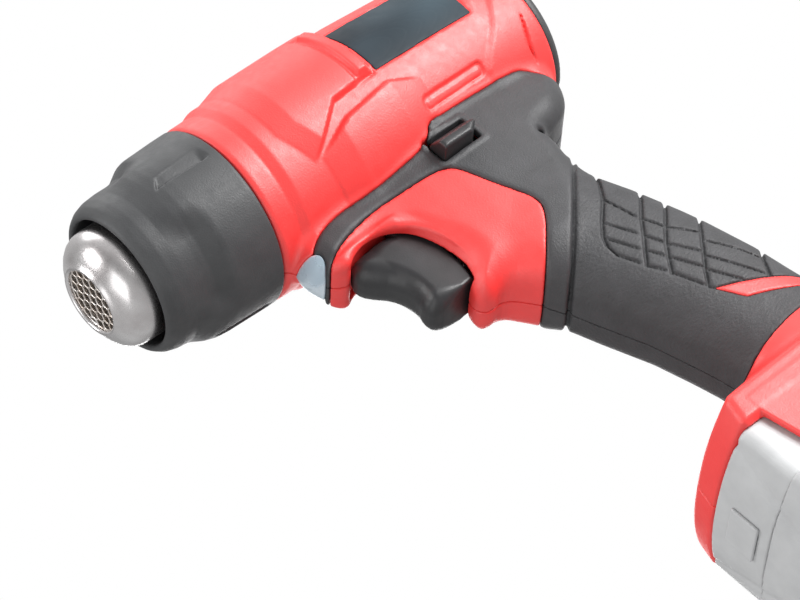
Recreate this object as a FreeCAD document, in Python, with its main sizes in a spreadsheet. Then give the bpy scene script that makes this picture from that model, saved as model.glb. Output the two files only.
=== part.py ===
import FreeCAD, Part
import math
import os
import re
import Sketcher
from FreeCAD import Placement, Rotation, Vector

# Cordless heat gun, standing on its battery. +Z is up and the nozzle points along -X.
# Stations "x" run back from the collar's rear rim and "z" runs up from the barrel's axis;
# barrel_place moves that barrel frame into the part's own frame, whose origin is at the
# middle of the bounding box's bottom.
DIMS = {
    # barrel frame in the part frame
    "rim_x": -43, "axis_height": 237,
    # barrel housing, station and radius pairs
    "wall": 2.5, "band_r": 33.5, "band_end": 10, "barrel_r": 34.8, "barrel_start": 12,
    "crown_r": 36.2, "crown_start": 30, "crown_end": 60, "label_r": 35.2, "label_start": 62.5,
    "waist_r": 33.2, "waist_x": 106, "tail_r": 30.5, "barrel_end": 127,
    "rib_r": 37.5, "rib_start": 55, "rib_end": 61, "rib_low": -9,
    # front collar
    "collar_r": 33, "collar_mouth_r": 23.4, "collar_front": -43.5, "ring_r": 28, "ring_end": -30,
    "shoulder_r": 32.6, "shoulder_x": -20, "collar_wall": 2.2,
    # hot air outlet
    "nozzle_tip": -55, "nozzle_r": 21, "nozzle_wall": 1, "lip_r": 11.3, "lip_x": -50,
    "nozzle_end": -22, "tube_r": 20, "tube_wall": 0.8, "tube_start": -44, "tube_end": 42,
    "mica_wall": 0.6, "core_r": 13, "core_plate": 2, "core_start": -38, "core_end": 30,
    "coil_r": 14.6, "coil_wire_r": 0.5, "coil_pitch": 4.5, "coil_length": 58,
    "cell_pitch": 4.3, "cell_web": 0.6, "grille_r": 12.2, "grille_depth": 6,
    # fan and motor
    "fan_r": 26, "fan_hub_r": 7, "fan_x": 50, "fan_depth": 9, "blade": 1.2, "shaft_r": 1.15,
    "motor_r": 13.9, "motor_x": 66, "motor_length": 32, "bearing_gap": 0.05, "rotor_gap": 1.5,
    # body between barrel and handle
    "saddle_half": 17.5, "skin": 2, "nose_x": 8, "nose_z": -46, "lip_z": -49, "lip_back": 16,
    "arch_top": -50, "arch_back": 41, "arch_low": -74, "heel_x": 38, "heel_z": -81,
    "web_x": 98, "web_z": -53, "hump_x": 121, "hump_z": -37, "barrel_under": -27,
    # handle stations: place, rake, half depth and half width
    "neck_x": 70, "neck_z": -77, "neck_rake": 23.7, "neck_a": 26.5, "neck_b": 19,
    "upper_x": 79.8, "upper_z": -96, "upper_rake": 21.6, "upper_a": 25, "upper_b": 20.5,
    "palm_x": 87, "palm_z": -112, "palm_rake": 21, "palm_a": 24.3, "palm_b": 21.3,
    "lower_x": 95, "lower_z": -134, "lower_rake": 20, "lower_a": 24, "lower_b": 21,
    "heel_st_x": 98.5, "heel_st_z": -156, "heel_st_rake": 18, "heel_st_a": 23.2, "heel_st_b": 20.5,
    "flare_x": 88, "flare_z": -178, "flare_rake": 0, "flare_a": 50.2, "flare_b": 36.5,
    # foot that takes the battery
    "foot_front": 37, "foot_back": 141, "foot_half": 38, "foot_top": -177, "foot_low": -190,
    "cheek_in": 35.4, "cheek_front": 50, "cheek_low": -212,
    "rail_x": 76, "rail_web": 20, "rail_head": 25, "rail_step": 3.5, "rail_depth": 7,
    # battery
    "pack_gap": 0.4, "pack_half": 34.9, "tray_half": 37.5, "pack_split": -213, "pack_wall": 2,
    "cell_r": 9.15, "cell_length": 65, "cell_count": 5,
    "latch_half": 9, "latch_x": 43.5, "latch_thick": 3, "latch_travel": 4,
    # trigger and lock button
    "trigger_half": 9.5, "trigger_travel": 6, "plunger_r": 2.5, "plunger_z": -64,
    "switch_x": 52, "switch_length": 22, "switch_half": 8,
    "lock_x": 61, "lock_length": 16, "lock_z": -43, "lock_height": 9.5, "lock_out": 27,
    "lock_in": 19.5, "lock_gap": 0.4,
    # fasteners
    "screw_r": 1.5, "head_r": 2.8, "boss_r": 3.6, "well_r": 3.3, "head_y": 8, "head_h": 2,
}
BATTERY_LOW = "-axis_height"

doc = FreeCAD.newDocument("heat_gun")
sheet = doc.addObject("Spreadsheet::Sheet", "dims")
for row, (alias, value) in enumerate(DIMS.items(), start=1):
    sheet.set(f"A{row}", alias)
    sheet.set(f"B{row}", str(value))
    sheet.setAlias(f"B{row}", alias)
doc.recompute()

WORD = re.compile(r"[a-z_]+[a-z_0-9]*")


def cells(text):
    """An expression with every alias read from the sheet."""
    return WORD.sub(lambda m: "dims." + m.group(0) if m.group(0) in DIMS else m.group(0), str(text))


def number(text):
    """The value of an expression of aliases, for starting a constraint near its answer."""
    plain = WORD.sub(lambda m: repr(DIMS[m.group(0)]) if m.group(0) in DIMS else m.group(0), str(text))
    return float(FreeCAD.Units.Quantity("(" + plain + ")").Value)


def bind(obj, **sizes):
    for prop, text in sizes.items():
        obj.setExpression(prop, cells(text))
    return obj


def barrel_place(obj, x="0", y="0", z="0", spin=Rotation()):
    """Place an object at barrel-frame coordinates given as expressions."""
    obj.Placement = Placement(Vector(), spin)
    obj.setExpression("Placement.Base.x", cells(f"rim_x + {x}"))
    obj.setExpression("Placement.Base.y", cells(y))
    obj.setExpression("Placement.Base.z", cells(f"axis_height + {z}"))
    return obj


ALONG_X = Rotation(Vector(0, 1, 0), 90)
ALONG_Y = Rotation(Vector(1, 0, 0), -90)


def box(name, x, y, z, length, width, height):
    obj = doc.addObject("Part::Box", name)
    bind(obj, Length=length, Width=width, Height=height)
    return barrel_place(obj, x, y, z)


def rod(name, x, y, z, radius, length, spin=ALONG_X):
    obj = doc.addObject("Part::Cylinder", name)
    bind(obj, Radius=radius, Height=length)
    return barrel_place(obj, x, y, z, spin)


def fuse(name, parts):
    obj = doc.addObject("Part::MultiFuse", name)
    obj.Shapes = parts
    return obj


def cut(name, base, tool):
    obj = doc.addObject("Part::Cut", name)
    obj.Base = base
    obj.Tool = tool
    return obj


def common(name, parts):
    obj = doc.addObject("Part::MultiCommon", name)
    obj.Shapes = parts
    return obj


def group(name, parts):
    obj = doc.addObject("Part::Compound", name)
    obj.Links = parts
    return obj


def sketch_on(body, role, points, name):
    """A closed outline of straight runs on one of the body's origin planes, its corners bound to cells."""
    plane = [f for f in body.Origin.OriginFeatures if f.Role == role][0]
    sketch = body.newObject("Sketcher::SketchObject", name)
    sketch.AttachmentSupport = [(plane, "")]
    sketch.MapMode = "FlatFace"
    spots = [Vector(number(u), number(v), 0) for u, v in points]
    for start, end in zip(spots, spots[1:] + spots[:1]):
        sketch.addGeometry(Part.LineSegment(start, end))
    last = len(points) - 1
    for i in range(len(points)):
        sketch.addConstraint(Sketcher.Constraint("Coincident", i, 2, 0 if i == last else i + 1, 1))
    for i, (u, v) in enumerate(points):
        for axis, text, value in (("DistanceX", u, spots[i].x), ("DistanceY", v, spots[i].y)):
            index = sketch.addConstraint(Sketcher.Constraint(axis, -1, 1, i, 1, value))
            sketch.setExpression(f"Constraints[{index}]", cells(text))
    return sketch


def turned(name, points):
    """A ring turned about the barrel's axis from (station, radius) corners."""
    body = doc.addObject("PartDesign::Body", name)
    sketch = sketch_on(body, "XZ_Plane", points, name + "_profile")
    feature = body.newObject("PartDesign::Revolution", name + "_turn")
    feature.Profile = sketch
    feature.ReferenceAxis = (sketch, ["H_Axis"])
    feature.Angle = 360
    return barrel_place(body)


def slab(name, points, width, y="0"):
    """A side outline in the barrel frame, thickened by width about the plane y."""
    body = doc.addObject("PartDesign::Body", name)
    sketch = sketch_on(body, "XZ_Plane", points, name + "_outline")
    feature = body.newObject("PartDesign::Pad", name + "_pad")
    feature.Profile = sketch
    feature.Midplane = True
    bind(feature, Length=width)
    return barrel_place(body, "0", y, "0")


def plate(name, points, low, high):
    """A plan outline, symmetric corners given for +y only, raised from low to high."""
    body = doc.addObject("PartDesign::Body", name)
    corners = points + [(u, f"-({v})") for u, v in reversed(points)]
    sketch = sketch_on(body, "XY_Plane", corners, name + "_outline")
    feature = body.newObject("PartDesign::Pad", name + "_pad")
    feature.Profile = sketch
    bind(feature, Length=f"({high}) - ({low})")
    return barrel_place(body, "0", "0", low)


def handle_loft(name, stations, inset):
    """A loft through ellipses at the named handle stations, each smaller by inset all round."""
    rings = []
    for station in stations:
        ring = doc.addObject("Part::Ellipse", f"{name}_{station}")
        bind(ring, MajorRadius=f"{station}_a - {inset}", MinorRadius=f"{station}_b - {inset}")
        barrel_place(ring, f"{station}_x", "0", f"{station}_z", Rotation(Vector(0, -1, 0), 10))
        ring.setExpression("Placement.Rotation.Angle", cells(f"{station}_rake"))
        rings.append(ring)
    loft = doc.addObject("Part::Loft", name)
    loft.Sections = rings
    loft.Solid = True
    return loft


def half(name, whole, side):
    """One side of a part split on the plane y = 0."""
    reach = "3 * foot_half"
    y = "0" if side == "right" else f"-({reach})"
    space = box(f"{name}_half_space", "-100", y, "-axis_height - 10", "300", reach, "320")
    return common(name, [whole, space])


# ---- housing shells --------------------------------------------------------
def barrel_outline(inset):
    return [
        ("0", "0"), ("0", f"band_r - {inset}"), ("band_end", f"band_r - {inset}"),
        ("barrel_start", f"barrel_r - {inset}"), ("crown_start", f"crown_r - {inset}"),
        ("crown_end", f"crown_r - {inset}"), ("label_start", f"label_r - {inset}"),
        ("waist_x", f"waist_r - {inset}"), ("barrel_end", f"tail_r - {inset}"), ("barrel_end", "0"),
    ]


SADDLE = [
    ("nose_x", "barrel_under"), ("nose_x", "nose_z"), ("nose_x + 3", "lip_z"), ("lip_back", "lip_z"),
    ("arch_back - 12", "arch_top"), ("arch_back - 4", "arch_top - 6"), ("arch_back", "arch_top - 14"),
    ("arch_back", "arch_low"), ("heel_x", "heel_z"), ("heel_x", "heel_z - 4"),
    ("heel_x + 8", "heel_z - 7"), ("upper_x - 23", "upper_z - 3"), ("upper_x - 14", "upper_z - 4"),
    ("web_x - 6", "web_z - 26"), ("web_x - 1", "web_z - 12"), ("web_x", "web_z"),
    ("web_x + 8", "web_z + 4"), ("hump_x - 6", "hump_z - 7"), ("hump_x", "hump_z"),
    ("hump_x + 2", "barrel_under"),
]
SADDLE_HOLLOW = [
    ("nose_x + 4", "barrel_under - 3"), ("nose_x + 4", "nose_z + 2"), ("lip_back", "lip_z + wall"),
    ("arch_back - 11", "arch_top + wall"), ("arch_back + wall", "arch_top - 8"),
    ("arch_back + wall", "heel_z + 3"), ("heel_x + 5", "heel_z - 2"), ("upper_x - 18", "upper_z + 2"),
    ("upper_x + 4", "upper_z + 4"), ("web_x - 8", "web_z - 24"), ("web_x - wall - 1", "web_z - 6"),
    ("web_x + 6", "web_z + 7"), ("hump_x - 7", "hump_z - 2"), ("hump_x - 2", "barrel_under - 3"),
]
SCREWS = [
    ("lip_back + 7", "-40"), ("hump_x - 12", "-37"), ("heel_x + 16", "heel_z - 9"),
    ("lower_x", "lower_z - 6"), ("foot_front + 17", "foot_low + 7"), ("foot_back - 10", "foot_low + 7"),
]

barrel = turned("barrel_solid", barrel_outline("0"))
barrel_bore = turned("barrel_bore", barrel_outline("wall"))
rib_ring = turned("rib_ring", [
    ("rib_start", "waist_r"), ("rib_start", "rib_r"), ("rib_end", "rib_r"), ("rib_end", "waist_r"),
])
rib_space = box("rib_space", "rib_start - 1", "-50", "rib_low", "rib_end - rib_start + 2", "100", "60")
rib = common("raised_rib", [rib_ring, rib_space])
saddle = slab("saddle_solid", SADDLE, "2 * saddle_half")
saddle_hollow = slab("saddle_hollow", SADDLE_HOLLOW, "2 * (saddle_half - wall)")
HANDLE_RUN = ["neck", "upper", "palm", "lower", "heel_st"]
handle_core = handle_loft("handle_core", HANDLE_RUN, "skin")
handle_hollow = handle_loft("handle_hollow", HANDLE_RUN, "(skin + wall)")
flare = handle_loft("flare_solid", ["heel_st", "flare"], "0")
flare_hollow = handle_loft("flare_hollow", ["heel_st", "flare"], "(skin + wall)")
FOOT_PLAN = [
    ("foot_front", "foot_half - 28"), ("foot_front + 2", "foot_half - 19"),
    ("foot_front + 6", "foot_half - 11"), ("foot_front + 12", "foot_half - 4.5"), ("foot_front + 20", "foot_half"),
    ("foot_back - 5", "foot_half"), ("foot_back", "foot_half - 5"),
]
FOOT_HOLLOW_PLAN = [
    ("foot_front + wall", "foot_half - 28"), ("foot_front + 9", "foot_half - 13"),
    ("foot_front + 22", "foot_half - wall - 1"),
    ("foot_back - wall - 3", "foot_half - wall - 1"), ("foot_back - wall", "foot_half - 8"),
]
foot = plate("foot_solid", FOOT_PLAN, "foot_low", "foot_top")
foot_hollow = plate("foot_hollow", FOOT_HOLLOW_PLAN, "foot_low + wall", "foot_top - wall")
CHEEK = [
    ("cheek_front", "foot_low + 1"), ("cheek_front + 5", "cheek_low"),
    ("foot_back - 8", "cheek_low"), ("foot_back - 5", "foot_low + 1"),
]
cheeks = [
    slab(f"cheek_{side}", CHEEK, "foot_half - cheek_in", f"{sign}(foot_half + cheek_in) / 2")
    for side, sign in (("left", "-"), ("right", ""))
]
rail = fuse("rail_solid", [
    box("rail_web_box", "rail_x", "-rail_web", "foot_low - rail_step - 0.1", "foot_back - rail_x - 6",
        "2 * rail_web", "rail_step + 0.2"),
    box("rail_head_box", "rail_x", "-rail_head", "foot_low - rail_depth", "foot_back - rail_x - 6",
        "2 * rail_head", "rail_depth - rail_step"),
])
trigger_slot = box("trigger_slot", "lip_back - 6", "-(trigger_half + 0.8)", "heel_z + 0.6",
                   "arch_back - lip_back + 16", "2 * trigger_half + 1.6", "lip_z - heel_z - 0.9")
lock_slot = box("lock_slot", "lock_x - lock_gap", "-40", "lock_z - lock_gap",
                "lock_length + 2 * lock_gap", "80", "lock_height + 2 * lock_gap")
lens_slot = box("lens_slot", "nose_x - 1", "-8.3", "nose_z + 1.7", "6", "16.6", "8.6")
wire_way = box("wire_way", "flare_x - 8", "-12", "foot_top - 6", "24", "24", "12")
bosses = []
wells = []
for i, (x, z) in enumerate(SCREWS):
    bosses.append(rod(f"boss_{i}", x, "-saddle_half + 1", z, "boss_r", "2 * saddle_half - 2", ALONG_Y))
    wells.append(rod(f"screw_hole_{i}", x, "-saddle_half + 4", z, "screw_r", "saddle_half + head_y", ALONG_Y))
    wells.append(rod(f"screw_well_{i}", x, "head_y", z, "well_r", "foot_half", ALONG_Y))
screw_tool = fuse("screw_tool", wells)

outer = fuse("housing_outer", [barrel, rib, saddle, handle_core, flare, foot])
inner = fuse("housing_inner", [barrel_bore, saddle_hollow, handle_hollow, flare_hollow, foot_hollow, wire_way])
shell = cut("housing_shell", outer, inner)
shell_built = fuse("housing_built", [shell, rail] + cheeks + bosses)
slots = fuse("housing_slots", [trigger_slot, lock_slot, lens_slot, screw_tool])
PANEL = [
    ("nose_x - 2", "lip_z + 1"), ("lip_back + 4", "arch_top + 3"), ("arch_back + 12", "arch_top + 4"),
    ("arch_back + 22", "arch_top - 4"), ("arch_back + 30", "heel_z + 10"), ("arch_back + 27", "heel_z - 1"),
    ("upper_x - 24", "upper_z - 1"), ("heel_x + 8", "heel_z - 7"), ("heel_x", "heel_z - 4"),
    ("heel_x", "heel_z"), ("arch_back", "arch_low"), ("arch_back", "arch_top - 14"),
    ("arch_back - 4", "arch_top - 6"), ("arch_back - 12", "arch_top"), ("lip_back", "lip_z"),
]
panels = slab("trigger_panels", PANEL, "2 * (saddle_half + skin)")
panel_gap = box("panel_gap", "-20", "-saddle_half", "-120", "160", "2 * saddle_half", "100")
panel_skins = cut("trigger_panel_skins", panels, panel_gap)
whole_shell = cut("housing_whole", fuse("housing_panelled", [shell_built, panel_skins]), slots)

# ---- soft overmould --------------------------------------------------------
SKIN = [
    ("nose_x - 2", "-34"), ("nose_x - 2", "lip_z + 1"), ("lip_back + 4", "arch_top + 3"),
    ("arch_back + 12", "arch_top + 4"), ("arch_back + 22", "arch_top - 4"),
    ("arch_back + 30", "heel_z + 10"), ("arch_back + 27", "heel_z - 1"), ("upper_x - 24", "upper_z - 1"),
    ("upper_x - 22", "upper_z - 9"), ("web_x - 3", "web_z - 15"), ("web_x", "web_z"),
    ("web_x + 8", "web_z + 4"), ("hump_x - 6", "hump_z - 7"), ("hump_x", "hump_z"),
    ("hump_x", "-31"),
]
skin_slab = slab("saddle_skin_slab", SKIN, "2 * (saddle_half + skin)")
barrel_keep = turned("barrel_keep_clear", barrel_outline("0"))
grip_keep = handle_loft("grip_keep_clear", HANDLE_RUN, "0")
skin_tools = fuse("skin_tools", [panel_gap, barrel_keep, lock_slot, screw_tool, grip_keep])
saddle_skins = cut("saddle_skins", skin_slab, skin_tools)

grip_outer = handle_loft("grip_outer", HANDLE_RUN, "0")
grip_inner = handle_loft("grip_inner", HANDLE_RUN, "skin")
GRIP_SIDE = [
    ("upper_x - 30", "upper_z - 8.5"), ("web_x + 12", "web_z - 8"), ("web_x + 40", "web_z - 30"),
    ("heel_st_x + 40", "heel_st_z + 13"), ("heel_st_x - 30", "heel_st_z - 7"),
]
grip_side = slab("grip_side", GRIP_SIDE, "60")
grip_ring = cut("grip_ring", grip_outer, grip_inner)

grip_tools = fuse("grip_tools", [screw_tool, flare, saddle])
grip_whole = cut("grip_whole", common("grip_trimmed", [grip_ring, grip_side]), grip_tools)


# ---- front collar and hot air outlet ---------------------------------------
collar = turned("collar_ring", [
    ("0", "collar_r"), ("shoulder_x", "shoulder_r"), ("ring_end + 5", "shoulder_r - 1.2"),
    ("ring_end", "ring_r + 0.6"), ("collar_front + 5.5", "ring_r"), ("collar_front + 1.5", "ring_r - 1.6"),
    ("collar_front", "collar_mouth_r + 1.2"), ("collar_front + 2.7", "collar_mouth_r"),
    ("collar_front + 5.5", "ring_r - collar_wall"), ("ring_end", "ring_r - collar_wall + 0.4"),
    ("ring_end + 5", "shoulder_r - collar_wall - 1.4"), ("shoulder_x", "shoulder_r - collar_wall"),
    ("0", "collar_r - collar_wall"),
])
nozzle = turned("nozzle_cap", [
    ("lip_x", "lip_r"), ("lip_x - 3.7", "lip_r + 0.7"), ("nozzle_tip", "lip_r + 3.2"),
    ("nozzle_tip + 0.8", "lip_r + 6"), ("nozzle_tip + 4", "nozzle_r - 1.4"),
    ("nozzle_tip + 9.5", "nozzle_r"), ("nozzle_end", "nozzle_r"), ("nozzle_end", "nozzle_r - nozzle_wall"),
    ("nozzle_tip + 9.7", "nozzle_r - nozzle_wall"), ("nozzle_tip + 4.6", "nozzle_r - nozzle_wall - 1.2"),
    ("nozzle_tip + 1.9", "lip_r + 5.4"), ("nozzle_tip + 1.1", "lip_r + 3.3"),
    ("lip_x - 3.3", "lip_r + 1.6"), ("lip_x", "lip_r + 0.9"),
])
grille_disc = turned("grille_disc", [
    ("lip_x", "0"), ("lip_x", "grille_r"), ("lip_x + grille_depth - 2", "grille_r"),
    ("lip_x + grille_depth - 2", "tube_r - 0.6"), ("lip_x + grille_depth", "tube_r - 0.6"),
    ("lip_x + grille_depth", "0"),
])
HEX_RINGS = 3
hex_cells = []
for i in range(-HEX_RINGS, HEX_RINGS + 1):
    for j in range(max(-HEX_RINGS, -i - HEX_RINGS), min(HEX_RINGS, -i + HEX_RINGS) + 1):
        cell = doc.addObject("Part::Prism", "grille_cell")
        bind(cell, Circumradius="(cell_pitch - cell_web) / sqrt(3)", Height="grille_depth + 2")
        barrel_place(cell, "lip_x - 1", f"cell_pitch * {i + j / 2}", f"cell_pitch * {j} * sqrt(3) / 2",
                     Rotation(Vector(0, 1, 0), 90))
        hex_cells.append(cell)
grille = cut("grille_body", grille_disc, fuse("grille_cells", hex_cells))


def pipe(name, start, end, radius, wall):
    """A plain tube on the barrel's axis."""
    outside = rod(name + "_outside", start, "0", "0", radius, f"({end}) - ({start})")
    inside = rod(name + "_inside", f"{start} - 1", "0", "0", f"{radius} - {wall}", f"({end}) - ({start}) + 2")
    return cut(name, outside, inside)


def cross(name, start, length, reach):
    """Two flat plates crossing on the barrel's axis."""
    upright = box(name + "_upright", start, "-core_plate / 2", f"-({reach})", length, "core_plate", f"2 * ({reach})")
    level = box(name + "_level", start, f"-({reach})", "-core_plate / 2", length, f"2 * ({reach})", "core_plate")
    return fuse(name, [upright, level])


WIRE_SIDES = 8


def coil(name, radius, wire, pitch, length, place):
    """A wire of many-sided section wound on a helix about its own +Z and then placed."""
    radius, wire, pitch, length = (number(text) for text in (radius, wire, pitch, length))
    angles = [2 * math.pi * (i + 0.5) / WIRE_SIDES for i in range(WIRE_SIDES)]
    corners = [Vector(radius + wire * math.cos(a), 0, wire * math.sin(a)) for a in angles]
    section = Part.makePolygon(corners + corners[:1])
    path = Part.Wire(Part.makeHelix(pitch, length, radius).Edges)
    obj = doc.addObject("Part::Feature", name)
    obj.Shape = path.makePipeShell([section], True, True)
    return barrel_place(obj, *place)


heater_tube = pipe("steel_tube", "tube_start", "tube_end", "tube_r", "tube_wall")
mica = pipe("mica_tube", "tube_start + 1", "tube_end - 2", "(tube_r - tube_wall)", "mica_wall")
MICA_BORE = "tube_r - tube_wall - mica_wall"
core = fuse("core_body", [
    cross("core_cross", "core_start", "core_end - core_start", "core_r"),
    cross("core_spider", "core_end", "3", MICA_BORE + " - 0.1"),
])
element = coil("heater_coil", "coil_r", "coil_wire_r", "coil_pitch", "coil_length",
               ("core_start + 3", "0", "0", ALONG_X))
fuse_can = rod("fuse_can", "core_end + 4", "0", "9", "1.8", "8")
shroud = turned("shroud_cone", [
    ("tube_end - 6", "tube_r"), ("tube_end - 6", "tube_r + 1.2"), ("fan_x - 5", "fan_r + 2.7"),
    ("fan_x + fan_depth + 1", "fan_r + 2.7"), ("fan_x + fan_depth + 1", "label_r - wall - 0.4"),
    ("fan_x + fan_depth + 2.4", "label_r - wall - 0.4"), ("fan_x + fan_depth + 2.4", "fan_r + rotor_gap"),
    ("fan_x - 4.6", "fan_r + rotor_gap"), ("tube_end", "tube_r + 0.2"), ("tube_end", "tube_r"),
])

# ---- fan and motor ---------------------------------------------------------
BLADES = 11
hub = rod("fan_hub", "fan_x", "0", "0", "fan_hub_r", "fan_depth")
back = rod("fan_back", "fan_x + fan_depth - blade", "0", "0", "fan_r", "blade")
vanes = []
for i in range(BLADES):
    vane = box("fan_vane", "fan_x", "0", "0", "fan_depth - blade / 2", "blade", "fan_r - 0.3")
    barrel_place(vane, "fan_x", "0", "0", Rotation(Vector(1, 0, 0), 360 * i / BLADES))
    vanes.append(vane)
shaft_way = rod("fan_bore", "fan_x - 1", "0", "0", "shaft_r", "fan_depth + 2")
impeller = cut("impeller_body", fuse("impeller_solid", [hub, back] + vanes), shaft_way)
shaft = rod("shaft_body", "fan_x", "0", "0", "shaft_r", "motor_x - fan_x + 6")
motor_can = rod("motor_can", "motor_x", "0", "0", "motor_r", "motor_length")
motor_nose = rod("motor_nose", "motor_x - 1.5", "0", "0", "4", "2")
motor_bore = rod("motor_bore", "motor_x - 2", "0", "0", "shaft_r + bearing_gap", "10")
motor = cut("motor_body", fuse("motor_solid", [motor_can, motor_nose]), motor_bore)
ARMS = 4
arms = []
for i in range(ARMS):
    arm = box("mount_arm", "motor_x + 4", "-1", "motor_r", "12", "2", "tail_r - wall - motor_r + 1.8")
    turn = Rotation(Vector(1, 0, 0), 45 + 360 * i / ARMS)
    offset = turn.multVec(Vector(0, -1, DIMS["motor_r"]))
    barrel_place(arm, "motor_x + 4", offset.y, offset.z, turn)
    arms.append(arm)
mount_ring = pipe("mount_ring", "motor_x + 3", "motor_x + 17", "(motor_r + 1.8)", "1.8")
motor_mount = fuse("mount_body", [mount_ring] + arms)

# ---- rear cap --------------------------------------------------------------
cap = turned("cap_solid", [
    ("barrel_end - 4", "tail_r - wall - 2.4"), ("barrel_end - 4", "tail_r - wall - 0.2"),
    ("barrel_end", "tail_r - wall - 0.2"), ("barrel_end", "tail_r - 0.4"), ("barrel_end + 3", "tail_r - 1.6"),
    ("barrel_end + 4", "tail_r - 3.6"), ("barrel_end + 4", "0"), ("barrel_end + 1.5", "0"),
    ("barrel_end + 1.5", "tail_r - wall - 2.4"),
])
INTAKE_SLOTS = 16
slits = []
for i in range(INTAKE_SLOTS):
    turn = Rotation(Vector(1, 0, 0), 360 * i / INTAKE_SLOTS)
    slit = box("intake_slit", "barrel_end", "0", "9", "6", "2.4", "14")
    offset = turn.multVec(Vector(0, -1.2, 9))
    barrel_place(slit, "barrel_end", offset.y, offset.z, turn)
    slits.append(slit)
rear_cap = cut("cap_body", cap, group("intake_slits", slits))
screen = rod("screen_disc", "barrel_end + 0.9", "0", "0", "tail_r - wall - 2.5", "0.6")

# ---- electrics -------------------------------------------------------------
board = fuse("board_body", [
    box("board_plate", "motor_x + 2", "-13", "-22.5", "38", "26", "1.6"),
    box("board_mosfet", "motor_x + 5", "-10", "-21", "10", "7", "3"),
    box("board_chip", "motor_x + 20", "1", "-21", "9", "7", "1.6"),
    rod("board_capacitor", "motor_x + 28", "-7", "-18", "3.4", "10"),
])
switch_bore = rod("switch_bore", "switch_x - 1", "0", "plunger_z", "plunger_r + 0.08", "12")
switch = cut("switch_solid", fuse("switch_case", [
    box("switch_block", "switch_x", "-switch_half", "plunger_z - 12", "switch_length", "2 * switch_half", "24"),
    box("switch_tabs", "switch_x + switch_length", "-5", "plunger_z - 6", "5", "10", "1"),
]), switch_bore)
plunger = rod("plunger_body", "arch_back + 2", "0", "plunger_z", "plunger_r", "switch_x - arch_back")
led_plate = box("led_plate", "nose_x + 4.1", "-7.5", "nose_z + 3.5", "1.4", "15", "6")
lens = fuse("lens_body", [
    box("lens_window", "nose_x - 1.2", "-8", "nose_z + 2", "1.6", "16", "8"),
    box("lens_block", "nose_x + 0.4", "-8", "nose_z + 2", "3.2", "16", "8"),
])
terminal = box("terminal_solid", "rail_x - 16", "-14", "foot_low - 7", "15", "28", "7")
BLADE_PITCH = 10
blades = [
    box(f"blade_{i}", "rail_x - 27", f"{BLADE_PITCH * i} - 0.4", "foot_low - 6", "11", "0.8", "4")
    for i in (-1, 0, 1)
]

# ---- trigger and lock button -----------------------------------------------
TRIGGER = [
    ("lip_back - 1", "lip_z - 1.4"), ("lip_back - 0.6", "lip_z - 5"), ("lip_back + 2", "lip_z - 9"),
    ("lip_back + 6", "lip_z - 14"), ("lip_back + 7.6", "lip_z - 20"), ("lip_back + 7.2", "lip_z - 26"),
    ("lip_back + 5.8", "heel_z + 1"), ("lip_back + 6.6", "heel_z - 1.4"), ("lip_back + 9.6", "heel_z - 2.8"),
    ("lip_back + 13.4", "heel_z - 2.4"), ("lip_back + 15.2", "heel_z - 0.6"), ("lip_back + 15.4", "heel_z + 1.2"),
    ("arch_back + 2", "heel_z + 1.2"), ("arch_back + 2", "lip_z - 1.4"),
]
trigger = slab("trigger_block", TRIGGER, "2 * trigger_half")
lock = slab("lock_block", [
    ("lock_x", "lock_z"), ("lock_x", "lock_z + lock_height - 2"), ("lock_x + 3", "lock_z + lock_height"),
    ("lock_x + lock_length", "lock_z + lock_height"), ("lock_x + lock_length", "lock_z + 3"),
    ("lock_x + lock_length - 4", "lock_z"),
], "lock_out + lock_in", "(lock_in - lock_out) / 2")

# ---- battery ---------------------------------------------------------------
PACK_TOP = "foot_low - pack_gap"
upper_block = slab("pack_upper_block", [
    ("foot_front + 4", "pack_split"), ("foot_front + 4", "foot_low - 3"), ("foot_front + 6", PACK_TOP),
    ("foot_back - 0.5", PACK_TOP), ("foot_back - 0.5", "pack_split"),
], "2 * pack_half")
SLOT_DEPTH = "rail_depth + 0.5"
upper_tools = fuse("pack_upper_tools", [
    box("slot_web", "rail_x - 17", "-rail_web - 0.5", "foot_low - 8", "foot_back - rail_x + 20",
        "2 * rail_web + 1", "10"),
    box("slot_head", "rail_x - 17", "-rail_head - 0.5", f"foot_low - ({SLOT_DEPTH})",
        "foot_back - rail_x + 20", "2 * rail_head + 1", "rail_depth - rail_step + 1"),
    box("pack_upper_room", "foot_front + 12", "-pack_half + pack_wall", "pack_split - 1",
        "foot_back - foot_front - 15", "2 * (pack_half - pack_wall)", "11"),
    box("latch_top_way", "latch_x - 0.4", "-latch_half - 0.4", "pack_split - 1",
        "latch_thick + 0.8", "2 * latch_half + 0.8", "40"),
    rod("latch_spring_way", "latch_x + 1.5", "0", "pack_split - 1", "3", "6", Rotation()),
    box("latch_front_way", "foot_front", "-latch_half - 0.4", "foot_low - 21.5",
        "latch_x - foot_front + 1", "2 * latch_half + 0.8", "13.9"),
] + [
    box(f"blade_way_{i}", "rail_x - 28", f"{BLADE_PITCH * i} - 1", "foot_low - 6.8", "12", "2", "5.4")
    for i in (-1, 0, 1)
])
upper_case = cut("pack_upper_solid", upper_block, upper_tools)
tray_block = slab("tray_block", [
    ("foot_front + 2.5", "pack_split"), ("foot_front + 2.5", f"{BATTERY_LOW} + 3"),
    ("foot_front + 6", BATTERY_LOW), ("foot_back - 3", BATTERY_LOW), ("foot_back", f"{BATTERY_LOW} + 3"),
    ("foot_back", "pack_split"),
], "2 * tray_half")
tray_room = box("tray_room", "foot_front + 5", "-tray_half + pack_wall", f"{BATTERY_LOW} + pack_wall",
                "foot_back - foot_front - 7.5", "2 * (tray_half - pack_wall)", "40")
tray = cut("tray_solid", tray_block, tray_room)
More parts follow.
